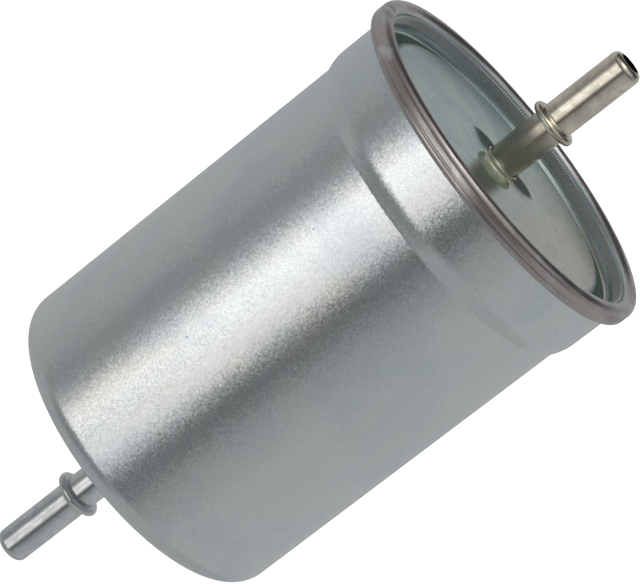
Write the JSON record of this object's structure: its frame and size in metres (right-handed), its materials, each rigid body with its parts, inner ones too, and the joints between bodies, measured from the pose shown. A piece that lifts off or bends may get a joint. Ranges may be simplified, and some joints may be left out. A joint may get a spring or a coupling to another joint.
{
  "type": "fuel filter",
  "caption": "In-line fuel filter: seamed steel canister with a beaded quick-connect stem at each end and a spring-held pleated paper element inside.",
  "frame": {"origin": "on the filter's axis, in the middle of the straight wall that the bracket's clamp band grips", "axes": "+Z along the filter's axis from the inlet stem to the outlet stem; +X and +Y square to it, with one weld dimple of the cover towards -Y"},
  "size_m": [0.08, 0.08, 0.1705],
  "materials": {
    "can_steel": "satin bright zinc plate",
    "cover_steel": "satin zinc plate, faint green-grey passivation",
    "outlet_tube": "warm yellow-passivated zinc, semi-gloss",
    "inlet_tube": "bright zinc plate, semi-gloss",
    "plain_steel": "plain pressed steel",
    "spring_steel": "drawn spring wire",
    "braze": "copper braze",
    "sealant": "cured sealing compound",
    "nitrile": "moulded black rubber",
    "plastisol": "cured plastisol",
    "paper": "resin-bonded filter paper"
  },
  "bodies": {
    "housing": {"canister": "can_steel", "end_cover": "cover_steel", "seam_compound": "sealant", "outlet_stem": "outlet_tube", "outlet_collar": "outlet_tube", "outlet_backing_ring": "plain_steel", "outlet_braze": "braze", "inlet_stem": "inlet_tube", "inlet_collar": "inlet_tube", "inlet_backing_ring": "plain_steel", "inlet_braze": "braze", "inlet_baffle": "plain_steel", "element_spring": "spring_steel"},
    "element": {"lower_end_cap": "plain_steel", "lower_potting": "plastisol", "pleated_media": "paper", "pleat_seam_clip": "plain_steel", "centre_tube": "plain_steel", "upper_potting": "plastisol", "upper_end_cap": "plain_steel", "outlet_grommet": "nitrile", "grommet_retainer": "plain_steel"}
  },
  "joints": [
    {"name": "element_slide", "type": "slide", "parent": "housing", "child": "element", "axis": [0, 0, 1], "range_m": [-0.002, 0], "stiffness_N_per_m": 3000, "springref_m": 0.004, "deforming": ["element_spring"]}
  ]
}
